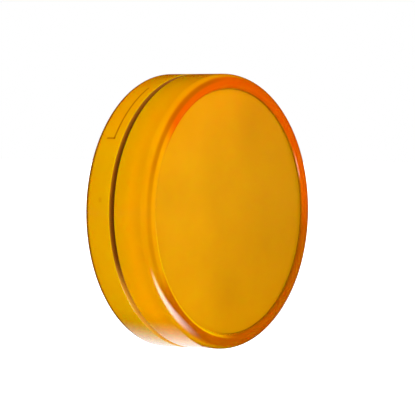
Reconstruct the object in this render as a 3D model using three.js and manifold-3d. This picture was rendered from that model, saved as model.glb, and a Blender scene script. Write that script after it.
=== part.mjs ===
// Amber lens assembly of a panel-mounted illuminated push-button or pilot light, in millimetres.
// The frame has its origin at the centre of the rear plane, +Z up, and the front face looks along -Y.
// The pieces are drawn as seen from the front, x right and y up, with z as the height above the rear plane;
// the exported group turns them upright. Angles run counter-clockwise from the top, as seen from the front.
import * as THREE from "three";
import { mergeVertices } from "three/addons/utils/BufferGeometryUtils.js";
import Module from "manifold-3d";

// Driving dimensions
const OUTER_RADIUS = 12; // a lens of the 22 mm control class is 24 mm across
const DEPTH = 6.8; // rear plane to the crest of the front rim
const RIM_RADIUS = 1.0; // outer rounding of the front rim
const FACE_RADIUS = 10.7; // the face lies inside the raised rim
const FACE_RECESS = 0.4; // how far the edge of the face lies below the crest
const DISH = 0.1; // how far the middle of the face lies below its edge
const WALL = 1.1; // side wall of the lens
const FACE = 0.88; // thickness of the lens at its middle
const GROOVE_FLOOR = 2.56; // top of the collar's shoulder
const GROOVE_WIDTH = 0.3; // gap between the shoulder and the lens
const LENS_TURN = THREE.MathUtils.degToRad(60); // twist that frees the lens
const LENS_LIFT = 1.0; // rise of the lens over that twist

// Collar
const COLLAR_BORE = 10.8;
const SPIGOT_OUTER = 10.55;
const SPIGOT_INNER = 9.7;
const SPIGOT_TOP = 4.1;
const SHOULDER_THICKNESS = 0.4;
const EDGE_CHAMFER = 0.12;

// Lens interior
const LENS_BORE = OUTER_RADIUS - WALL;
const LENS_EDGE = GROOVE_FLOOR + GROOVE_WIDTH;
const LENS_CHAMFER = 0.28;
const CEILING = DEPTH - FACE_RECESS - DISH - FACE;
const CORNER_CHAMFER = 0.15; // between the inner face and the bore
const SEAL_SEAT = { radius: 11.15, top: 3.17 };
const SNAP_GROOVE = { radius: 11.07, bottom: 4.14, top: 4.66 };

// Twist lock between lens and collar
const LOCK_COUNT = 3;
const FIRST_LUG = THREE.MathUtils.degToRad(30);
const LUG_HALF_ANGLE = THREE.MathUtils.degToRad(6);
const LUG = { inner: 10.25, bottom: 3.25, top: 3.65 };
const TRACK_FLOOR = 10.15;
const TRACK_CLEARANCE = 0.05;
const TRACK_END_CLEARANCE = THREE.MathUtils.degToRad(1);
const TRACK_SLOPE = LENS_LIFT / LENS_TURN;

// Pockets that take the lugs of the control head, and the ramp that pulls the collar home
const POCKET_COUNT = 2;
const POCKET_RADIUS = 11.35;
const POCKET_WALL_ANGLE = THREE.MathUtils.degToRad(57.6);
const POCKET_MOUTH_END = THREE.MathUtils.degToRad(12);
const POCKET_STOP_ANGLE = THREE.MathUtils.degToRad(-32);
const POCKET_TOP = 2.1; // height of the pocket's front edge at the stop
const POCKET_SLOPE = -0.4; // mm per radian: the front edge comes down towards the side wall
const POCKET_LIP = 0.8; // thickness at the stop of the lip that captures the head's lugs
const MOULD_MARK = { angle: THREE.MathUtils.degToRad(85), height: 1.2, radius: 0.25, depth: 0.15, sides: 16 };

// Inner pieces
const KEY_WIDTH = 1.0;
const KEY_INNER = 10.35;
const PLATE_RADIUS = 10.75;
const NOTCH_CLEARANCE = 0.15;
const LEGEND = { bottom: 5.06, thickness: 0.3 };
const DIFFUSER = { bottom: 4.7, thickness: 0.3, ribs: 5, ribHeight: 0.16, ribRadius: 9.0 };
const SNAP_RING = { inner: 9.95, outer: 10.97, bottom: 4.22, thickness: 0.38, gap: 0.24 };
const SEAL_RING = { inner: 10.62, outer: 11.08, bottom: 2.62, top: 3.08, sides: 8 };

const ROUND = 72; // facets in a full turn
const FACET = (2 * Math.PI) / ROUND;
const RIM_ARC_DIVISIONS = 3;
const OVERCUT = 0.3; // how far a cutting body reaches past the surface it cuts
const EMBED = 0.3; // how far a lug or rib runs into the wall it grows from
const MERGE_DISTANCE = 1e-5; // vertices closer than this are one

const wasm = await Module();
wasm.setup();

// A closed geometry as a solid that can be joined and cut.
function solid(geometry) {
  const bare = geometry.clone();
  bare.deleteAttribute("normal");
  bare.deleteAttribute("uv");
  const merged = mergeVertices(bare, MERGE_DISTANCE);
  const vertProperties = merged.attributes.position.array;
  const triVerts = new Uint32Array(merged.index.array);
  return new wasm.Manifold(new wasm.Mesh({ numProp: 3, vertProperties, triVerts }));
}

function geometryOf(body) {
  const { vertProperties, triVerts } = body.getMesh();
  const geometry = new THREE.BufferGeometry();
  geometry.setAttribute("position", new THREE.BufferAttribute(vertProperties, 3));
  geometry.setIndex(new THREE.BufferAttribute(triVerts, 1));
  const faceted = geometry.toNonIndexed();
  faceted.computeVertexNormals();
  return faceted;
}

// A profile of radius and height, drawn counter-clockwise, turned about the z axis.
function revolve(path) {
  const lathe = new THREE.LatheGeometry(path.getPoints(RIM_ARC_DIVISIONS), ROUND);
  return solid(lathe.rotateX(Math.PI / 2));
}

// A curved block between two radii and two angles, whose height climbs with the angle from `start`.
function ramp({ inner, outer, start, end, bottom, top, slope = 0 }) {
  const quarter = Math.PI / 2; // shapes count angles from +x, the object from +y
  const sector = new THREE.Shape();
  sector.absarc(0, 0, outer, start + quarter, end + quarter, false);
  sector.absarc(0, 0, inner, end + quarter, start + quarter, true);
  sector.closePath();
  const facets = Math.max(2, Math.round((end - start) / FACET));
  const block = new THREE.ExtrudeGeometry(sector, {
    depth: top - bottom,
    bevelEnabled: false,
    curveSegments: facets,
  });
  const place = block.attributes.position;
  const middle = (start + end) / 2 + quarter;
  for (let i = 0; i < place.count; i++) {
    const angle = Math.atan2(place.getY(i), place.getX(i));
    const fromMiddle = THREE.MathUtils.euclideanModulo(angle - middle + Math.PI, 2 * Math.PI) - Math.PI;
    const climb = slope * (fromMiddle + (end - start) / 2);
    place.setZ(i, place.getZ(i) + bottom + climb);
  }
  return solid(block);
}

// Copies of a body, evenly spaced round the axis.
function around(body, count) {
  const turns = Array.from({ length: count }, (_, i) => (360 / count) * i);
  return turns.map((turn) => body.rotate([0, 0, turn]));
}

function collarProfile() {
  const shoulderUnderside = GROOVE_FLOOR - SHOULDER_THICKNESS;
  const path = new THREE.Path();
  path.moveTo(COLLAR_BORE + EDGE_CHAMFER, 0);
  path.lineTo(OUTER_RADIUS - EDGE_CHAMFER, 0);
  path.lineTo(OUTER_RADIUS, EDGE_CHAMFER);
  path.lineTo(OUTER_RADIUS, GROOVE_FLOOR);
  path.lineTo(SPIGOT_OUTER, GROOVE_FLOOR);
  path.lineTo(SPIGOT_OUTER, SPIGOT_TOP - EDGE_CHAMFER);
  path.lineTo(SPIGOT_OUTER - EDGE_CHAMFER, SPIGOT_TOP);
  path.lineTo(SPIGOT_INNER, SPIGOT_TOP);
  path.lineTo(SPIGOT_INNER, shoulderUnderside);
  path.lineTo(COLLAR_BORE, shoulderUnderside);
  path.lineTo(COLLAR_BORE, EDGE_CHAMFER);
  path.closePath();
  return path;
}

// One of the helical tracks in the spigot, open at the spigot's top.
function lensTrack() {
  const below = LUG_HALF_ANGLE + TRACK_END_CLEARANCE;
  return ramp({
    inner: TRACK_FLOOR,
    outer: SPIGOT_OUTER + OVERCUT,
    start: FIRST_LUG - below,
    end: FIRST_LUG + LENS_TURN + below,
    bottom: LUG.bottom - TRACK_CLEARANCE - TRACK_SLOPE * TRACK_END_CLEARANCE,
    top: LUG.top + TRACK_CLEARANCE - TRACK_SLOPE * TRACK_END_CLEARANCE,
    slope: TRACK_SLOPE,
  });
}

// The pocket's mouth is open to the rear; past it the channel runs on behind the lip to its stop.
function headPocket() {
  const inner = COLLAR_BORE - OVERCUT;
  const channel = ramp({
    inner,
    outer: POCKET_RADIUS,
    start: POCKET_STOP_ANGLE,
    end: POCKET_WALL_ANGLE,
    bottom: POCKET_LIP,
    top: POCKET_TOP,
    slope: POCKET_SLOPE,
  });
  const mouth = ramp({
    inner,
    outer: POCKET_RADIUS,
    start: POCKET_MOUTH_END,
    end: POCKET_WALL_ANGLE,
    bottom: -OVERCUT,
    top: POCKET_LIP + OVERCUT,
  });
  return channel.add(mouth);
}

// A shallow round pin mark on the inside of the skirt.
function mouldMark() {
  const { angle, height, radius, depth, sides } = MOULD_MARK;
  const pin = new THREE.CylinderGeometry(radius, radius, 2 * depth, sides);
  pin.translate(0, COLLAR_BORE, 0).rotateZ(angle).translate(0, 0, height);
  return solid(pin);
}

function bayonetCollar() {
  const cuts = [...around(lensTrack(), LOCK_COUNT), ...around(headPocket(), POCKET_COUNT), mouldMark()];
  return cuts.reduce((body, cut) => body.subtract(cut), revolve(collarProfile()));
}

function lensProfile() {
  const faceEdge = DEPTH - FACE_RECESS;
  const faceMiddle = faceEdge - DISH;
  const rimCentre = OUTER_RADIUS - RIM_RADIUS;
  const path = new THREE.Path();
  path.moveTo(0, CEILING);
  path.lineTo(LENS_BORE - CORNER_CHAMFER, CEILING);
  path.lineTo(LENS_BORE, CEILING - CORNER_CHAMFER);
  path.lineTo(LENS_BORE, SNAP_GROOVE.top);
  path.lineTo(SNAP_GROOVE.radius, SNAP_GROOVE.top);
  path.lineTo(SNAP_GROOVE.radius, SNAP_GROOVE.bottom);
  path.lineTo(LENS_BORE, SNAP_GROOVE.bottom);
  path.lineTo(LENS_BORE, SEAL_SEAT.top);
  path.lineTo(SEAL_SEAT.radius, SEAL_SEAT.top);
  path.lineTo(SEAL_SEAT.radius, LENS_EDGE);
  path.lineTo(OUTER_RADIUS - LENS_CHAMFER, LENS_EDGE);
  path.lineTo(OUTER_RADIUS, LENS_EDGE + LENS_CHAMFER);
  path.lineTo(OUTER_RADIUS, DEPTH - RIM_RADIUS);
  path.absarc(rimCentre, DEPTH - RIM_RADIUS, RIM_RADIUS, 0, Math.PI / 2, false);
  path.quadraticCurveTo(FACE_RADIUS, DEPTH, FACE_RADIUS, faceEdge);
  path.quadraticCurveTo(FACE_RADIUS / 2, faceMiddle, 0, faceMiddle);
  return path;
}

// A lug reaches in from the lens wall and rides in its track.
function lensLug() {
  return ramp({
    inner: LUG.inner,
    outer: LENS_BORE + EMBED,
    start: FIRST_LUG - LUG_HALF_ANGLE,
    end: FIRST_LUG + LUG_HALF_ANGLE,
    bottom: LUG.bottom,
    top: LUG.top,
    slope: TRACK_SLOPE,
  });
}

// The rib at the bottom of the lens that keeps the legend upright.
function legendKey() {
  const root = LENS_BORE + EMBED;
  const height = CEILING + EMBED - SNAP_GROOVE.top;
  const key = new THREE.BoxGeometry(KEY_WIDTH, root - KEY_INNER, height);
  key.translate(0, -(root + KEY_INNER) / 2, SNAP_GROOVE.top + height / 2);
  return solid(key);
}

function frontLens() {
  const additions = [legendKey(), ...around(lensLug(), LOCK_COUNT)];
  return additions.reduce((body, addition) => body.add(addition), revolve(lensProfile()));
}

// The slot in a plate's edge that fits over the key.
function keyNotch(bottom, top) {
  const width = KEY_WIDTH + 2 * NOTCH_CLEARANCE;
  const deepest = KEY_INNER - NOTCH_CLEARANCE;
  const rim = PLATE_RADIUS + OVERCUT;
  const notch = new THREE.BoxGeometry(width, rim - deepest, top - bottom + 2 * OVERCUT);
  notch.translate(0, -(deepest + rim) / 2, (bottom + top) / 2);
  return solid(notch);
}

function legendPlate() {
  const top = LEGEND.bottom + LEGEND.thickness;
  const path = new THREE.Path();
  path.moveTo(0, LEGEND.bottom);
  path.lineTo(PLATE_RADIUS, LEGEND.bottom);
  path.lineTo(PLATE_RADIUS, top);
  path.lineTo(0, top);
  return revolve(path).subtract(keyNotch(LEGEND.bottom, top));
}

// The diffuser has concentric V ribs on its rear face.
function diffuserDisc() {
  const top = DIFFUSER.bottom + DIFFUSER.thickness;
  const pitch = DIFFUSER.ribRadius / DIFFUSER.ribs;
  const path = new THREE.Path();
  path.moveTo(0, DIFFUSER.bottom - DIFFUSER.ribHeight);
  for (let rib = 0; rib < DIFFUSER.ribs; rib++) {
    path.lineTo((rib + 0.5) * pitch, DIFFUSER.bottom);
    path.lineTo((rib + 1) * pitch, DIFFUSER.bottom - DIFFUSER.ribHeight);
  }
  path.lineTo(DIFFUSER.ribRadius + pitch / 2, DIFFUSER.bottom);
  path.lineTo(PLATE_RADIUS, DIFFUSER.bottom);
  path.lineTo(PLATE_RADIUS, top);
  path.lineTo(0, top);
  return revolve(path).subtract(keyNotch(DIFFUSER.bottom, top));
}

// The snap ring is split at the top.
function retainingRing() {
  const { inner, outer, bottom, thickness, gap } = SNAP_RING;
  return ramp({ inner, outer, start: gap / 2, end: 2 * Math.PI - gap / 2, bottom, top: bottom + thickness });
}

function sealRing() {
  const { inner, outer, bottom, top, sides } = SEAL_RING;
  const radius = (outer - inner) / 2;
  const path = new THREE.Path();
  const turn = (2 * Math.PI) / sides;
  const corner = (i) => [
    (inner + outer) / 2 + radius * Math.cos(i * turn),
    (bottom + top) / 2 + radius * Math.sin(i * turn),
  ];
  path.moveTo(...corner(0));
  for (let i = 1; i < sides; i++) path.lineTo(...corner(i));
  path.closePath();
  return revolve(path);
}

const amberGloss = () => new THREE.MeshStandardMaterial({ color: "#f0a000", roughness: 0.12, metalness: 0 });
const amberCollar = () => new THREE.MeshStandardMaterial({ color: "#eca400", roughness: 0.15, metalness: 0 });
const milkyWhite = () => new THREE.MeshStandardMaterial({ color: "#f2efe6", roughness: 0.5, metalness: 0 });
const frosted = () => new THREE.MeshStandardMaterial({ color: "#f6f3ea", roughness: 0.4, metalness: 0 });
const whiteNylon = () => new THREE.MeshStandardMaterial({ color: "#e6e2d8", roughness: 0.55, metalness: 0 });
const silicone = () => new THREE.MeshStandardMaterial({ color: "#7a3f12", roughness: 0.6, metalness: 0 });

function piece(name, body, material) {
  const mesh = new THREE.Mesh(geometryOf(body), material);
  mesh.name = name;
  return mesh;
}

// What lifts and turns together when the lens is taken off.
function lensGroup() {
  const group = new THREE.Group();
  group.add(piece("front_lens", frontLens(), amberGloss()));
  group.add(piece("legend_plate", legendPlate(), milkyWhite()));
  group.add(piece("diffuser_disc", diffuserDisc(), frosted()));
  group.add(piece("retaining_ring", retainingRing(), whiteNylon()));
  return group;
}

const assembly = new THREE.Group();
assembly.add(piece("bayonet_collar", bayonetCollar(), amberCollar()));
assembly.add(piece("seal_ring", sealRing(), silicone()));
assembly.add(lensGroup());
assembly.rotation.x = Math.PI / 2; // stands the drum on edge, with its face along -Y

export default assembly;
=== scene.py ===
"""Looks of the amber indicator lens: fine meshes, materials, soft studio light and the camera."""

import functools
import math

import bmesh
import bpy
from mathutils import Matrix, Vector


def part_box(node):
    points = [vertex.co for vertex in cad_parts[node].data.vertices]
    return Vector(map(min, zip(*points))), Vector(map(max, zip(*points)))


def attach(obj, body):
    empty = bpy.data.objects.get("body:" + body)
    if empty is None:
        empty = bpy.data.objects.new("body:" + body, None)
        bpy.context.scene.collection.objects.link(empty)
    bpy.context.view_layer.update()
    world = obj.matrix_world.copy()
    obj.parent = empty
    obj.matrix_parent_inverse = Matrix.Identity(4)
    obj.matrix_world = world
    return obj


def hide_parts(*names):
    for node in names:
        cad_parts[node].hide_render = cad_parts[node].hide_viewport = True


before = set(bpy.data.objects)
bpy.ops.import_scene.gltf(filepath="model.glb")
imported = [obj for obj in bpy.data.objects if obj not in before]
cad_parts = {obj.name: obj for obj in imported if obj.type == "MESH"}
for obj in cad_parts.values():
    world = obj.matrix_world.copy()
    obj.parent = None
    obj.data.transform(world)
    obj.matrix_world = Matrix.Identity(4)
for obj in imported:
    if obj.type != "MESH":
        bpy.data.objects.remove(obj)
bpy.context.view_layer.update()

MM = 0.001  # the meshes below are drawn in millimetres and stored in metres
SEGMENTS = 288  # facets in a full turn
SPARE_SLOTS = 3  # material slots that every mesh starts with, so that cutting it keeps each face's material
SHARP_ANGLE = math.radians(32)
ONE_DEGREE = math.radians(1)


def span(node):
    """Outer radius, rear height and front height of a CAD node, in mm. Heights count from the rear plane."""
    low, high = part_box(node)
    return high.x / MM, -high.y / MM, -low.y / MM


# Sizes that the frame gives
OUTER_RADIUS, LENS_EDGE, DEPTH = span("front_lens")
_, _, SPIGOT_TOP = span("bayonet_collar")
SEAL_OUTER, SEAL_BOTTOM, SEAL_TOP = span("seal_ring")
PLATE_RADIUS, LEGEND_BOTTOM, LEGEND_TOP = span("legend_plate")
_, DIFFUSER_BOTTOM, DIFFUSER_TOP = span("diffuser_disc")
SNAP_OUTER, SNAP_BOTTOM, SNAP_TOP = span("retaining_ring")

# Sizes inside the pieces, as in the CAD model, in millimetres and radians
RIM_RADIUS = 1.0
CREST_RADIUS = OUTER_RADIUS - RIM_RADIUS
FACE_RADIUS = 10.7
FACE_EDGE = DEPTH - 0.4
DISH = 0.1
LENS_BORE = 10.9
CEILING = FACE_EDGE - DISH - 0.88
LENS_CHAMFER = 0.28
SNAP_GROOVE_RADIUS, SNAP_GROOVE_BOTTOM, SNAP_GROOVE_TOP = 11.07, 4.14, 4.66
SEAT_RADIUS, SEAT_HEIGHT = 11.15, 3.17
GROOVE_FLOOR = 2.56
COLLAR_BORE = 10.8
SHOULDER_UNDERSIDE = GROOVE_FLOOR - 0.4
SPIGOT_OUTER, SPIGOT_INNER = 10.55, 9.7
SEAL_INNER = 10.62
SNAP_INNER, SNAP_GAP = 9.95, 0.24
RIB_COUNT, RIB_HEIGHT, RIB_REACH = 5, 0.16, 9.0
LOCK_COUNT = 3
LUG_INNER, LUG_BOTTOM, LUG_TOP = 10.25, 3.25, 3.65
LUG_HALF_ANGLE = math.radians(6)
FIRST_LUG = math.radians(30)
LENS_TURN = math.radians(60)
TRACK_SLOPE = 1.0 / LENS_TURN  # the lens rises 1 mm over its turn
TRACK_FLOOR, TRACK_ROOM = 10.15, 0.05
POCKET_COUNT, POCKET_RADIUS = 2, 11.35
POCKET_WALL = math.radians(57.6)
POCKET_MOUTH_END = math.radians(12)
POCKET_STOP = math.radians(-32)
POCKET_TOP, POCKET_LIP, POCKET_SLOPE = 2.1, 0.8, -0.4
KEY_WIDTH, KEY_INNER = 1.0, 10.35
NOTCH_ROOM, NOTCH_BOTTOM, NOTCH_TOP = 0.15, 4.0, 6.0
MARK_ANGLE, MARK_HEIGHT, MARK_RADIUS, MARK_DEPTH = math.radians(85), 1.2, 0.25, 0.15

# Sizes of the visible meshes only
FINE, SMALL, SOFT = 0.03, 0.05, 0.12  # fillets
OVERRUN = 0.3  # how far a tool runs past the face that it cuts or joins


# ---------------------------------------------------------------- mesh building

def place(radius, angle, height):
    """A point at an angle counter-clockwise from the top, as seen from the front, in metres."""
    return Vector((-radius * math.sin(angle), -height, radius * math.cos(angle))) * MM


def rounded(corners, steps=5):
    """A path through (radius, height, fillet) corners, with an arc of `steps` pieces at each fillet."""
    path = []
    last = len(corners) - 1
    for i, (x, y, fillet) in enumerate(corners):
        here = Vector((x, y))
        if fillet <= 0 or i in (0, last):
            path.append((x, y))
            continue
        before = (Vector(corners[i - 1][:2]) - here).normalized()
        after = (Vector(corners[i + 1][:2]) - here).normalized()
        half = before.angle(after) / 2
        reach = fillet / math.tan(half)
        centre = here + (before + after).normalized() * (fillet / math.sin(half))
        start = here + before * reach - centre
        end = here + after * reach - centre
        sweep = start.angle_signed(end)
        for k in range(steps + 1):
            a = -sweep * k / steps
            turned = Vector((start.x * math.cos(a) - start.y * math.sin(a),
                             start.x * math.sin(a) + start.y * math.cos(a)))
            path.append(tuple(centre + turned))
    return path


def finish_mesh(name, bm):
    """Makes the object, with spare material slots."""
    mesh = bpy.data.meshes.new(name)
    for _ in range(SPARE_SLOTS):
        mesh.materials.append(None)
    bm.to_mesh(mesh)
    bm.free()
    obj = bpy.data.objects.new(name, mesh)
    bpy.context.scene.collection.objects.link(obj)
    return obj


def lathe(name, sections, closed):
    """A body turned about the lens axis. Its sections are (material index, path), end to end."""
    bm = bmesh.new()
    rings, marks = [], []
    for index, path in sections:
        for point in path:
            if rings and (Vector(point) - Vector(marks[-1][1])).length < 1e-5:
                continue
            marks.append((index, point))
            radius, height = point
            if radius < 1e-6:
                rings.append([bm.verts.new(place(0, 0, height))])
            else:
                rings.append([bm.verts.new(place(radius, 2 * math.pi * k / SEGMENTS, height))
                              for k in range(SEGMENTS)])
    pairs = list(zip(range(len(rings)), range(1, len(rings))))
    if closed:
        pairs.append((len(rings) - 1, 0))
    for a, b in pairs:
        for k in range(SEGMENTS):
            n = (k + 1) % SEGMENTS
            quad = [rings[a][k % len(rings[a])], rings[a][n % len(rings[a])],
                    rings[b][n % len(rings[b])], rings[b][k % len(rings[b])]]
            face = bm.faces.new(list(dict.fromkeys(quad)))
            face.material_index = marks[b][0]
    bmesh.ops.recalc_face_normals(bm, faces=bm.faces)
    return finish_mesh(name, bm)


def ramp(name, inner, outer, start, end, bottom, top, slope=0.0, material=0, wall_material=0):
    """A curved block between two radii and two angles, which climbs by `slope` mm a radian from `start`.
    Its round faces have the one material, and its other faces the wall material."""
    bm = bmesh.new()
    steps = max(2, round((end - start) / (2 * math.pi / SEGMENTS)))
    loops = []
    for k in range(steps + 1):
        angle = start + (end - start) * k / steps
        climb = slope * (angle - start)
        loops.append([bm.verts.new(place(r, angle, h + climb))
                      for r, h in ((inner, bottom), (outer, bottom), (outer, top), (inner, top))])
    for a, b in zip(loops, loops[1:]):
        for i in range(4):
            face = bm.faces.new((a[i], a[(i + 1) % 4], b[(i + 1) % 4], b[i]))
            face.material_index = material if i in (1, 3) else wall_material
    for end_loop in (loops[0], loops[-1]):
        bm.faces.new(end_loop).material_index = wall_material
    bmesh.ops.recalc_face_normals(bm, faces=bm.faces)
    return finish_mesh(name, bm)


def block(name, width, low_radius, high_radius, bottom, top, material=0):
    """A straight block at the bottom of the drum, between two distances from the axis."""
    bm = bmesh.new()
    bmesh.ops.create_cube(bm, size=1.0)
    for v in bm.verts:
        v.co = Vector((v.co.x * width,
                       -((bottom + top) / 2 + v.co.y * (top - bottom)),
                       -((low_radius + high_radius) / 2 + v.co.z * (high_radius - low_radius)))) * MM
    for face in bm.faces:
        face.material_index = material
    bmesh.ops.recalc_face_normals(bm, faces=bm.faces)
    return finish_mesh(name, bm)


def combine(target, tool, operation):
    """Joins or cuts target with tool, and removes the tool."""
    modifier = target.modifiers.new("cut", "BOOLEAN")
    modifier.operation = operation
    modifier.solver = "EXACT"
    modifier.object = tool
    graph = bpy.context.evaluated_depsgraph_get()
    mesh = bpy.data.meshes.new_from_object(target.evaluated_get(graph))
    target.modifiers.clear()
    old = target.data
    target.data = mesh
    bpy.data.meshes.remove(old)
    bpy.data.objects.remove(tool)


def around(make, count, target, operation):
    """Applies `count` copies of a tool, evenly spaced about the axis; make(turn) draws one."""
    for i in range(count):
        combine(target, make(2 * math.pi * i / count), operation)


def assign(obj, *materials):
    """Fills the material slots in order, and removes the spare ones."""
    slots = obj.data.materials
    for i, material in enumerate(materials):
        slots[i] = material
    while len(slots) > len(materials):
        slots.pop()


def shade(obj, *materials):
    """Gives a piece its materials, and smooth shading between its sharp edges."""
    assign(obj, *materials)
    for polygon in obj.data.polygons:
        polygon.use_smooth = True
    obj.data.set_sharp_from_angle(angle=SHARP_ANGLE)


# ---------------------------------------------------------------- shader nodes

def new_material(name):
    """A material with one Principled shader, as (material, tree, shader, output)."""
    material = bpy.data.materials.new(name)
    material.use_nodes = True
    tree = material.node_tree
    tree.nodes.clear()
    output = tree.nodes.new("ShaderNodeOutputMaterial")
    shader = tree.nodes.new("ShaderNodeBsdfPrincipled")
    tree.links.new(shader.outputs["BSDF"], output.inputs["Surface"])
    return material, tree, shader, output


def noise(tree, scale, detail=3.0):
    """Object-space noise, as a 0 to 1 value; scale is in cycles a metre."""
    coords = tree.nodes.new("ShaderNodeTexCoord")
    texture = tree.nodes.new("ShaderNodeTexNoise")
    texture.inputs["Scale"].default_value = scale
    texture.inputs["Detail"].default_value = detail
    tree.links.new(coords.outputs["Object"], texture.inputs["Vector"])
    return texture.outputs["Fac"]


def spread(tree, value, low, high):
    """A 0 to 1 value spread between low and high."""
    node = tree.nodes.new("ShaderNodeMapRange")
    node.inputs["To Min"].default_value = low
    node.inputs["To Max"].default_value = high
    tree.links.new(value, node.inputs["Value"])
    return node.outputs["Result"]


def tint(tree, value, dark, light):
    """A colour between dark and light, for a 0 to 1 value."""
    node = tree.nodes.new("ShaderNodeMix")
    node.data_type = "RGBA"
    node.inputs["A"].default_value = (*dark, 1)
    node.inputs["B"].default_value = (*light, 1)
    tree.links.new(value, node.inputs["Factor"])
    return node.outputs["Result"]


def bump(tree, shader, value, height):
    """A relief of the given height, in metres."""
    node = tree.nodes.new("ShaderNodeBump")
    node.inputs["Distance"].default_value = height
    node.inputs["Strength"].default_value = 1.0
    tree.links.new(value, node.inputs["Height"])
    tree.links.new(node.outputs["Normal"], shader.inputs["Normal"])


def calculate(tree, operation, *values):
    """A Math node over floats and sockets."""
    node = tree.nodes.new("ShaderNodeMath")
    node.operation = operation
    for value, socket in zip(values, node.inputs):
        if isinstance(value, float):
            socket.default_value = value
        else:
            tree.links.new(value, socket)
    return node.outputs["Value"]


def product(tree, *values):
    """All the values multiplied."""
    return functools.reduce(lambda a, b: calculate(tree, "MULTIPLY", a, b), values)


def fade(tree, coordinate, start, end):
    """0 before `start` and 1 after `end` along one coordinate, in millimetres, with a smooth change."""
    node = tree.nodes.new("ShaderNodeMapRange")
    node.interpolation_type = "SMOOTHSTEP"
    node.inputs["From Min"].default_value = start * MM
    node.inputs["From Max"].default_value = end * MM
    tree.links.new(coordinate, node.inputs["Value"])
    return node.outputs["Result"]


def object_axes(tree):
    """The object's own coordinates, in metres. Depth is 0 at the rear plane and negative in front of it."""
    coords = tree.nodes.new("ShaderNodeTexCoord")
    split = tree.nodes.new("ShaderNodeSeparateXYZ")
    tree.links.new(coords.outputs["Object"], split.inputs["Vector"])
    return {"across": split.outputs["X"], "depth": split.outputs["Y"], "up": split.outputs["Z"]}


def lens_radius(tree, axes):
    """Distance from the lens axis, in metres."""
    squares = [product(tree, axes[name], axes[name]) for name in ("across", "up")]
    return calculate(tree, "SQRT", calculate(tree, "ADD", *squares))


def arc_length(tree, axes):
    """Distance round the outside from the top, counter-clockwise as seen from the front, in metres."""
    angle = calculate(tree, "ARCTAN2", product(tree, axes["across"], -1.0), axes["up"])
    return product(tree, angle, OUTER_RADIUS * MM)


def lay_tints(tree, shader, tints):
    """Lays each (share, colour, fades) over the base colour, in order, where all of its fades are 1."""
    axes = object_axes(tree)
    used = {fading[0] for _, _, fades in tints for fading in fades}
    if "radius" in used:
        axes["radius"] = lens_radius(tree, axes)
    if "arc" in used:
        axes["arc"] = arc_length(tree, axes)
    for share, colour, fades in tints:
        where = [fade(tree, axes[name], start, end) for name, start, end in fades]
        mix = tree.nodes.new("ShaderNodeMix")
        mix.data_type = "RGBA"
        mix.inputs["B"].default_value = (*colour, 1)
        tree.links.new(shader.inputs["Base Color"].links[0].from_socket, mix.inputs["A"])
        tree.links.new(product(tree, *where, share), mix.inputs["Factor"])
        tree.links.new(mix.outputs["Result"], shader.inputs["Base Color"])


# ---------------------------------------------------------------- tints
# A place is a row of fades along the object's coordinates: (coordinate, where it is 0, where it is 1), in mm.

def band(name, low, high, softness):
    """The two fades of a band between low and high."""
    return (name, low - softness, low + softness), (name, high + softness, high - softness)


FRONT = ("depth", -DEPTH + 1.2, -DEPTH + 0.6)
FACE = (FRONT, ("radius", FACE_RADIUS - 0.2, FACE_RADIUS - 0.7))
FACE_LINE_LIGHT_AND_SHADE = (FRONT, ("radius", FACE_RADIUS - 0.1, FACE_RADIUS - 0.04))
RIM = (FRONT, ("radius", FACE_RADIUS - 0.04, FACE_RADIUS + 0.02),
       ("radius", OUTER_RADIUS - 0.1, OUTER_RADIUS - 0.4))
RIM_SHADE_LINE = (FRONT, ("radius", CREST_RADIUS + 0.35, CREST_RADIUS + 0.55),
            ("radius", CREST_RADIUS + 0.85, CREST_RADIUS + 0.65), ("across", 0.0, -4.0))
WALL = (("depth", -DEPTH + 0.8, -DEPTH + 2.6), ("depth", -GROOVE_FLOOR + 0.16, -GROOVE_FLOOR - 0.24))
POCKET_SIDE, MARK_SIDE = OUTER_RADIUS * POCKET_WALL, OUTER_RADIUS * MARK_ANGLE

PATCH_SHADE_BROWN = (0.42, 0.19, 0.0)
POCKET_SHADE_BROWN = (0.3, 0.09, 0.0)

SKIN_LIGHT_AND_SHADE_TINTS = (
    # Painted shade: the plastic is deeper towards the right, and more orange towards the top, where less
    # light falls on it.
    (0.5, (0.48, 0.23, 0.0), (("across", -8.0, 11.0),)),
    (0.4, (1.0, 0.38, 0.0), (("up", 3.0, 12.0),)),
    # Painted light and shade: the thick rim is redder, a painted glow of the light that runs through it, and
    # brown low down with painted shade, with a painted dark line of shade along its rounding on the left.
    (1.0, (0.72, 0.12, 0.0), (*RIM, ("across", -10.2, -8.0))),
    (0.75, (0.36, 0.12, 0.0), (*RIM, ("up", 3.0, -4.0), ("across", -10.4, -8.6))),
    (0.38, (0.35, 0.12, 0.0), RIM_SHADE_LINE),
    (0.5, (0.4, 0.12, 0.0), (*RIM_SHADE_LINE, ("up", 0.0, 6.0))),
    # The face has two soft darker patches of painted shade and a fine dark outline of painted shade, with a
    # painted highlight, a yellow line outside it, lower left.
    (0.4, PATCH_SHADE_BROWN, (*FACE, *band("across", 1.8, 5.0, 2.2), *band("up", 5.5, 9.5, 3.0))),
    (0.3, PATCH_SHADE_BROWN, (*FACE, *band("across", -1.6, 1.6, 1.8), *band("up", -9.5, -5.0, 2.2))),
    (0.7, (0.22, 0.08, 0.0), (*FACE_LINE_LIGHT_AND_SHADE, ("radius", FACE_RADIUS + 0.04, FACE_RADIUS - 0.01))),
    (1.0, (1.0, 0.58, 0.0), (*FACE_LINE_LIGHT_AND_SHADE, ("radius", FACE_RADIUS + 0.4, FACE_RADIUS + 0.25),
                             ("up", 1.0, -3.0), ("across", 1.0, -4.0))),
    # The lens wall is a lighter orange, and the rear edge is dark with painted shade.
    (0.85, (1.0, 0.45, 0.0), WALL),
    (0.9, (0.12, 0.03, 0.0), (("depth", -0.42, -0.15),)),
)
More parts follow.
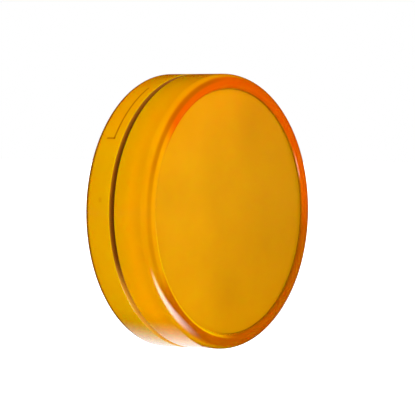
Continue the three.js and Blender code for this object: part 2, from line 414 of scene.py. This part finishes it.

# Painted shade: the ceiling and the side of the pocket, and the moulding mark, are painted on the skirt's
# skin as soft dark lines where they show through it.
POCKET_SHADE_TINTS = (
    (0.75, POCKET_SHADE_BROWN, (*band("depth", -1.78, -1.62, 0.06), *band("arc", 5.5, POCKET_SIDE + 0.1, 0.06))),
    (0.75, POCKET_SHADE_BROWN, (*band("arc", POCKET_SIDE - 0.06, POCKET_SIDE + 0.1, 0.06),
                          *band("depth", -1.8, -0.9, 0.1))),
    (0.35, (0.5, 0.16, 0.0), (*band("arc", MARK_SIDE - 0.3, MARK_SIDE + 0.1, 0.12),
                              *band("depth", -1.72, -1.4, 0.12))),
)

# Painted light: the faces in the joint of lens and collar are lighter low down, where light from below falls
# on them.
PAINTED_LIGHT_BELOW = ((1.0, (0.85, 0.45, 0.03), (("up", -3.5, -8.0),)),)


# ---------------------------------------------------------------- materials

AMBER_PASSED = (1.0, 0.935, 0.0)
AMBER_DENSITY = 2000.0  # a metre
LENS_IOR = 1.58


def amber(name, dark, light, roughness, grain_scale, grain_height, tints):
    """Amber polycarbonate that absorbs along the path, with an uneven tint and a fine surface texture."""
    material, tree, shader, output = new_material(name)
    shader.inputs["IOR"].default_value = LENS_IOR
    tree.links.new(tint(tree, noise(tree, 160.0), dark, light), shader.inputs["Base Color"])
    grain = noise(tree, grain_scale, 4.0)
    tree.links.new(spread(tree, grain, *roughness), shader.inputs["Roughness"])
    bump(tree, shader, grain, grain_height)
    volume = tree.nodes.new("ShaderNodeVolumeAbsorption")
    volume.inputs["Color"].default_value = (*AMBER_PASSED, 1)
    volume.inputs["Density"].default_value = AMBER_DENSITY
    tree.links.new(volume.outputs["Volume"], output.inputs["Volume"])
    if tints:
        lay_tints(tree, shader, tints)
    return material, shader


def amber_outside(name, clear, dark, light, tints):
    """The glossy skin, which scatters a little under its coat."""
    material, shader = amber(name, dark, light, (0.07, 0.1), 2500.0, 0.0000004, tints)
    shader.inputs["Subsurface Weight"].default_value = 1.0
    shader.inputs["Subsurface Radius"].default_value = (1.0, 0.45, 0.05)
    shader.inputs["Subsurface Scale"].default_value = 1.2 * MM
    shader.inputs["Coat Weight"].default_value = 1.0
    shader.inputs["Coat Roughness"].default_value = 0.03
    shader.inputs["Coat IOR"].default_value = 1.5
    shader.inputs["Transmission Weight"].default_value = clear
    return material


def amber_inside(name, dark, light, roughness, grain_scale, grain_height, tints=()):
    """The textured inner faces, which scatter most of the light."""
    material, shader = amber(name, dark, light, roughness, grain_scale, grain_height, tints)
    shader.inputs["Transmission Weight"].default_value = 0.12
    return material


def milky(name, dark, light, roughness, reach):
    """Plastic or rubber that scatters light inside it, over `reach` mm."""
    material, tree, shader, _ = new_material(name)
    tree.links.new(tint(tree, noise(tree, 900.0), dark, light), shader.inputs["Base Color"])
    shader.inputs["Roughness"].default_value = roughness
    shader.inputs["Subsurface Weight"].default_value = 1.0
    shader.inputs["Subsurface Radius"].default_value = (1.0, 0.95, 0.9)
    shader.inputs["Subsurface Scale"].default_value = reach * MM
    bump(tree, shader, noise(tree, 9000.0), 0.00001)
    return material


gloss = amber_outside("amber_glossy", 0.5, (0.62, 0.31, 0.0), (0.86, 0.45, 0.001), SKIN_LIGHT_AND_SHADE_TINTS)
collar_gloss = amber_outside("amber_glossy_collar", 0.42, (0.66, 0.37, 0.0), (0.76, 0.43, 0.001),
                             SKIN_LIGHT_AND_SHADE_TINTS + POCKET_SHADE_TINTS)
frost = amber_inside("amber_frosted", (0.97, 0.76, 0.25), (1.0, 0.8, 0.3), (0.5, 0.6), 14000.0, 0.000004)
satin = amber_inside("amber_satin", (0.62, 0.34, 0.02), (0.68, 0.38, 0.03), (0.4, 0.5), 9000.0, 0.000002)
# Painted shade: the dark amber of the faces in the joint of lens and collar, of the pockets' walls and of the
# mark stands in for the shade there.
shaded = amber_inside("amber_shaded", (0.24, 0.08, 0.0), (0.3, 0.1, 0.0), (0.4, 0.5), 9000.0, 0.000002,
                      PAINTED_LIGHT_BELOW)
legend_white = milky("legend_white", (0.62, 0.61, 0.58), (0.68, 0.67, 0.64), 0.55, 0.5)
diffuser_white = milky("diffuser_white", (0.48, 0.48, 0.47), (0.54, 0.54, 0.53), 0.4, 0.6)
nylon = milky("snap_ring_nylon", (0.4, 0.385, 0.35), (0.46, 0.445, 0.41), 0.5, 0.3)
silicone = milky("seal_silicone", (0.1, 0.035, 0.01), (0.14, 0.05, 0.014), 0.45, 0.1)


# ---------------------------------------------------------------- pieces

SKIN, INNER, SHADED = 0, 1, 2  # material slots of the two amber pieces


def front_curve():
    """The front of the lens, from its wall to the axis: the rim's rounding and inner slope, then the face."""
    steps = 24
    angles = [math.pi / 2 * k / steps for k in range(steps + 1)]
    low = DEPTH - RIM_RADIUS
    rounding = [(CREST_RADIUS + RIM_RADIUS * math.cos(a), low + RIM_RADIUS * math.sin(a)) for a in angles]
    width, drop = CREST_RADIUS - FACE_RADIUS, DEPTH - FACE_EDGE
    slope = [(FACE_RADIUS + width * (1 - math.sin(a)), FACE_EDGE + drop * math.cos(a)) for a in angles]
    shares = [1 - k / steps for k in range(steps + 1)]
    face = [(FACE_RADIUS * share, FACE_EDGE - DISH + DISH * share ** 2) for share in shares]
    return rounding + slope + face


def make_front_lens():
    ceiling_rings = 6  # so that the ceiling has no long thin triangles
    ceiling = [(LENS_BORE * 0.9 * k / ceiling_rings, CEILING) for k in range(ceiling_rings + 1)]
    bore = rounded([
        (0, CEILING, 0),
        (LENS_BORE, CEILING, 0.3),
        (LENS_BORE, SNAP_GROOVE_TOP, FINE),
        (SNAP_GROOVE_RADIUS, SNAP_GROOVE_TOP, 0.04),
        (SNAP_GROOVE_RADIUS, SNAP_GROOVE_BOTTOM, 0.04),
        (LENS_BORE, SNAP_GROOVE_BOTTOM, FINE),
        (LENS_BORE, SEAT_HEIGHT, SMALL),
        (SEAT_RADIUS, SEAT_HEIGHT, SMALL),
        (SEAT_RADIUS, LENS_EDGE, 0),
    ])
    edge = rounded([
        (SEAT_RADIUS, LENS_EDGE, 0),
        (OUTER_RADIUS - LENS_CHAMFER, LENS_EDGE, 0.06),
        (OUTER_RADIUS, LENS_EDGE + LENS_CHAMFER, 0.1),
        (OUTER_RADIUS, DEPTH - RIM_RADIUS, 0),
    ])
    seat_start = next(i for i, (_, h) in enumerate(bore) if h < SEAT_HEIGHT + 0.1)
    chamfer_start = next(i for i, (r, _) in enumerate(edge) if r > OUTER_RADIUS - LENS_CHAMFER - 0.1)
    lens = lathe("front_lens_shell", [
        (INNER, ceiling + bore[1:seat_start]),
        # The seal seat and the lens's rear edge take the painted shade.
        (SHADED, bore[seat_start:] + edge[:chamfer_start]),
        (SKIN, edge[chamfer_start:] + front_curve()),
    ], closed=False)
    reach = LENS_BORE + OVERRUN
    combine(lens, block("key", KEY_WIDTH, KEY_INNER, reach, SNAP_GROOVE_TOP, CEILING + 0.2, INNER), "UNION")
    start, end = FIRST_LUG - LUG_HALF_ANGLE, FIRST_LUG + LUG_HALF_ANGLE
    around(lambda turn: ramp("lug", LUG_INNER, reach, start + turn, end + turn, LUG_BOTTOM, LUG_TOP,
                             TRACK_SLOPE, INNER, INNER),
           LOCK_COUNT, lens, "UNION")
    shade(lens, gloss, frost, shaded)
    return lens


def cut_tracks(collar):
    """The helical tracks in the spigot, which the lens's lugs run in."""
    half = LUG_HALF_ANGLE + ONE_DEGREE
    start, end = FIRST_LUG - half, FIRST_LUG + LENS_TURN + half
    lag = TRACK_SLOPE * ONE_DEGREE
    bottom, top = LUG_BOTTOM - TRACK_ROOM - lag, LUG_TOP + TRACK_ROOM - lag
    around(lambda turn: ramp("track", TRACK_FLOOR, SPIGOT_OUTER + OVERRUN, start + turn, end + turn,
                             bottom, top, TRACK_SLOPE, INNER, INNER),
           LOCK_COUNT, collar, "DIFFERENCE")


def cut_pockets(collar):
    """The sloping channels inside the skirt, and their mouths at the rear. A mouth's tool is a hair larger
    than the channel's, so that their faces don't coincide."""
    # The channels' and mouths' flat walls take the painted shade.
    around(lambda turn: ramp("channel", COLLAR_BORE - OVERRUN, POCKET_RADIUS, POCKET_STOP + turn,
                             POCKET_WALL + turn, POCKET_LIP, POCKET_TOP, POCKET_SLOPE, INNER, SHADED),
           POCKET_COUNT, collar, "DIFFERENCE")
    around(lambda turn: ramp("mouth", COLLAR_BORE - OVERRUN - 0.01, POCKET_RADIUS + 0.001,
                             POCKET_MOUTH_END + turn, POCKET_WALL + 0.0001 + turn,
                             -OVERRUN, POCKET_LIP + OVERRUN, 0.0, INNER, SHADED),
           POCKET_COUNT, collar, "DIFFERENCE")


def cut_mark(collar):
    """A shallow round mark on the inside of the skirt."""
    bm = bmesh.new()
    radius = MARK_RADIUS * MM
    quarter = math.pi / 2
    turn = Matrix.Rotation(quarter - MARK_ANGLE, 4, "Y") @ Matrix.Rotation(quarter, 4, "Y")
    spot = Matrix.Translation(place(COLLAR_BORE, MARK_ANGLE, MARK_HEIGHT))
    bmesh.ops.create_cone(bm, cap_ends=True, segments=24, radius1=radius, radius2=radius,
                          depth=2 * MARK_DEPTH * MM, matrix=spot @ turn)
    # The mark's faces take the painted shade.
    for face in bm.faces:
        face.material_index = SHADED
    combine(collar, finish_mesh("mark", bm), "DIFFERENCE")


def make_collar():
    mid_bore = (COLLAR_BORE, 1.0, 0)
    profile = rounded([
        mid_bore,
        (COLLAR_BORE, 0, SOFT),
        (OUTER_RADIUS, 0, 0.15),
        (OUTER_RADIUS, GROOVE_FLOOR, SMALL),
        (SPIGOT_OUTER, GROOVE_FLOOR, SMALL),
        (SPIGOT_OUTER, SPIGOT_TOP, SOFT),
        (SPIGOT_INNER, SPIGOT_TOP, SMALL),
        (SPIGOT_INNER, SHOULDER_UNDERSIDE, SMALL),
        (COLLAR_BORE, SHOULDER_UNDERSIDE, 0.1),
        mid_bore,
    ])
    collar = lathe("collar_ring", [(SKIN, profile[:-1])], closed=True)
    for polygon in collar.data.polygons:
        middle = polygon.center / MM
        reach = math.hypot(middle.x, middle.z)
        if reach < OUTER_RADIUS - 0.2:
            polygon.material_index = INNER
        # The faces in the joint of lens and collar take the painted shade.
        if SPIGOT_OUTER - 0.05 < reach < OUTER_RADIUS - 0.03 and -middle.y > GROOVE_FLOOR - 0.02:
            polygon.material_index = SHADED
    cut_tracks(collar)
    cut_pockets(collar)
    cut_mark(collar)
    shade(collar, collar_gloss, satin, shaded)
    return collar


def make_seal():
    cord = (SEAL_OUTER - SEAL_INNER) / 2
    radius, height = (SEAL_OUTER + SEAL_INNER) / 2, (SEAL_BOTTOM + SEAL_TOP) / 2
    steps = 20
    angles = [2 * math.pi * k / steps for k in range(steps)]
    circle = [(radius + cord * math.cos(a), height + cord * math.sin(a)) for a in angles]
    seal = lathe("seal_cord", [(0, circle)], closed=True)
    shade(seal, silicone)
    return seal


def notched(name, corners):
    """A disc turned from its half section, with a notch that fits round the lens's key."""
    plate = lathe(name, [(0, rounded(corners))], closed=False)
    notch = block("notch", KEY_WIDTH + 2 * NOTCH_ROOM, KEY_INNER - NOTCH_ROOM, PLATE_RADIUS + 1,
                  NOTCH_BOTTOM, NOTCH_TOP)
    combine(plate, notch, "DIFFERENCE")
    return plate


def make_legend():
    plate = notched("legend_film", [(0, LEGEND_BOTTOM, 0), (PLATE_RADIUS, LEGEND_BOTTOM, SMALL),
                                    (PLATE_RADIUS, LEGEND_TOP, SMALL), (0, LEGEND_TOP, 0)])
    shade(plate, legend_white)
    return plate


def make_diffuser():
    base = DIFFUSER_BOTTOM + RIB_HEIGHT
    pitch = RIB_REACH / RIB_COUNT
    corners = [(0, DIFFUSER_BOTTOM, 0)]
    for rib in range(RIB_COUNT):
        corners.append(((rib + 0.5) * pitch, base, 0.2))
        corners.append(((rib + 1) * pitch, DIFFUSER_BOTTOM, 0.2))
    corners += [(RIB_REACH + pitch / 4, base, SMALL), (PLATE_RADIUS, base, SMALL),
                (PLATE_RADIUS, DIFFUSER_TOP, SMALL), (0, DIFFUSER_TOP, 0)]
    plate = notched("diffuser_ribbed", corners)
    shade(plate, diffuser_white)
    return plate


def make_snap_ring():
    ring = ramp("snap_ring", SNAP_INNER, SNAP_OUTER, SNAP_GAP / 2, 2 * math.pi - SNAP_GAP / 2,
                SNAP_BOTTOM, SNAP_TOP)
    bevel = ring.modifiers.new("bevel", "BEVEL")
    bevel.width = 0.06 * MM
    bevel.segments = 2
    bevel.limit_method = "ANGLE"
    shade(ring, nylon)
    return ring


PIECES = (
    (make_front_lens, "lens", "front_lens", "amber_lens"),
    (make_collar, "collar", "bayonet_collar", "amber_collar"),
    (make_seal, "seal", "seal_ring", "silicone"),
    (make_legend, "lens", "legend_plate", "legend_film"),
    (make_diffuser, "lens", "diffuser_disc", "frosted_diffuser"),
    (make_snap_ring, "lens", "retaining_ring", "white_nylon"),
)
for make, body, node, slot in PIECES:
    piece = make()
    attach(piece, body)
    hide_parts(node)


# ---------------------------------------------------------------- studio

FLOOR_HALF, FLOOR_HEIGHT, FLOOR_GLOW = 1200, -OUTER_RADIUS, 1.6
WORLD_LIGHT = 1.62
MIRRORED = (0.3, 0.075, 0.0)
VIEW_AZIMUTH, VIEW_ELEVATION = math.radians(-53.0), math.radians(1.3)
VIEW_DISTANCE = 0.34
VIEW_RIGHT, VIEW_UP = 0.00052, 0.0003  # from the middle of the lens to the middle of the frame
FRAME_WIDTH = 0.03635  # what the frame covers at the object
SENSOR_WIDTH = 36


def level_plane(name, low, high, height):
    """A level plane between two corners, in millimetres."""
    bm = bmesh.new()
    bmesh.ops.create_grid(bm, x_segments=8, y_segments=8, size=0.5)
    for v in bm.verts:
        v.co = Vector((low[0] + (v.co.x + 0.5) * (high[0] - low[0]),
                       low[1] + (v.co.y + 0.5) * (high[1] - low[1]), height)) * MM
    return finish_mesh(name, bm)


def make_floor():
    """A pale floor with a glow of its own, which keeps the shadow on it faint."""
    floor = level_plane("floor", (-FLOOR_HALF, -FLOOR_HALF), (FLOOR_HALF, FLOOR_HALF), FLOOR_HEIGHT)
    material, tree, shader, _ = new_material("floor_white")
    grey = tint(tree, noise(tree, 3.0), (0.14, 0.14, 0.14), (0.16, 0.16, 0.16))
    tree.links.new(grey, shader.inputs["Base Color"])
    shader.inputs["Roughness"].default_value = 0.6
    shader.inputs["Emission Color"].default_value = (1, 1, 1, 1)
    shader.inputs["Emission Strength"].default_value = FLOOR_GLOW
    assign(floor, material)
    floor.visible_glossy = False


def make_card(name, low, high, height, strength, fades):
    """A level white card that shows only as a reflection in the gloss, brightest where its fades are 1."""
    card = level_plane(name, low, high, height)
    material, tree, shader, _ = new_material(name + "_white")
    axes = object_axes(tree)
    light = product(tree, strength, *(fade(tree, axes[axis], start, end) for axis, start, end in fades))
    shader.inputs["Base Color"].default_value = (0, 0, 0, 1)
    shader.inputs["Emission Color"].default_value = (1, 1, 1, 1)
    tree.links.new(light, shader.inputs["Emission Strength"])
    assign(card, material)
    card.visible_camera = False
    card.visible_diffuse = False
    card.visible_transmission = False
    card.visible_shadow = False


def make_world():
    """White where the camera sees it, warm and dark in reflections, and a soft white light for the rest."""
    world = bpy.data.worlds.new("studio")
    world.use_nodes = True
    tree = world.node_tree
    backdrop = tree.nodes["Background"]
    soft, mirrored = (tree.nodes.new("ShaderNodeBackground") for _ in range(2))
    for node, colour, strength in ((backdrop, (1, 1, 1, 1), 1.0), (soft, (1, 1, 1, 1), WORLD_LIGHT),
                                   (mirrored, (*MIRRORED, 1), 1.0)):
        node.inputs["Color"].default_value = colour
        node.inputs["Strength"].default_value = strength
    ray = tree.nodes.new("ShaderNodeLightPath")
    surface = soft.outputs["Background"]
    for kind, seen in (("Is Camera Ray", backdrop), ("Is Glossy Ray", mirrored)):
        choose = tree.nodes.new("ShaderNodeMixShader")
        tree.links.new(ray.outputs[kind], choose.inputs["Fac"])
        tree.links.new(surface, choose.inputs[1])
        tree.links.new(seen.outputs["Background"], choose.inputs[2])
        surface = choose.outputs["Shader"]
    tree.links.new(surface, tree.nodes["World Output"].inputs["Surface"])
    world.cycles.sampling_method = "NONE"
    bpy.context.scene.world = world


def make_softbox(name, location, size, power):
    """A square lamp that points at the lens and doesn't show in its gloss."""
    data = bpy.data.lights.new(name, "AREA")
    data.energy = power
    data.size = size
    lamp = bpy.data.objects.new(name, data)
    lamp.location = Vector(location) * MM
    lamp.rotation_euler = lamp.location.to_track_quat("Z", "Y").to_euler()
    lamp.visible_camera = False
    lamp.visible_glossy = False
    lamp.visible_transmission = False
    bpy.context.scene.collection.objects.link(lamp)


def make_camera():
    data = bpy.data.cameras.new("camera")
    camera = bpy.data.objects.new("camera", data)
    bpy.context.scene.collection.objects.link(camera)
    a, e = VIEW_AZIMUTH, VIEW_ELEVATION
    back = Vector((math.sin(a) * math.cos(e), -math.cos(a) * math.cos(e), math.sin(e)))
    right = Vector((math.cos(a), math.sin(a), 0))
    up = back.cross(right)
    target = Vector((0, -DEPTH / 2, 0)) * MM + right * VIEW_RIGHT + up * VIEW_UP
    camera.location = target + back * VIEW_DISTANCE
    camera.rotation_euler = back.to_track_quat("Z", "Y").to_euler()
    data.sensor_width = SENSOR_WIDTH
    data.lens = SENSOR_WIDTH * VIEW_DISTANCE / FRAME_WIDTH
    data.clip_start, data.clip_end = 0.01, 10
    bpy.context.scene.camera = camera


make_floor()
make_card("rear_card", (-8, -6.4), (60, 60), FLOOR_HEIGHT + 0.01, 1.0,
          (("across", -6.8, -2.8), ("across", 58, 12), ("depth", -5.8, -4.8), ("depth", 58, 15)))
make_card("front_card", (-22, -12), (-2, -5), FLOOR_HEIGHT + 0.02, 6.0,
          (("across", -19, -12), ("across", -3.2, -9.0), ("depth", -11.2, -9.0), ("depth", -6.2, -7.6)))
make_softbox("key", (-24, -42, 16), 0.02, 0.012)
make_world()
make_camera()

# Enough bounces for light to cross the lens's walls several times
scene = bpy.context.scene
scene.view_settings.view_transform = "Standard"
scene.cycles.max_bounces = 32
scene.cycles.transmission_bounces = 24
scene.cycles.glossy_bounces = 8
scene.cycles.diffuse_bounces = 8
scene.cycles.transparent_max_bounces = 16
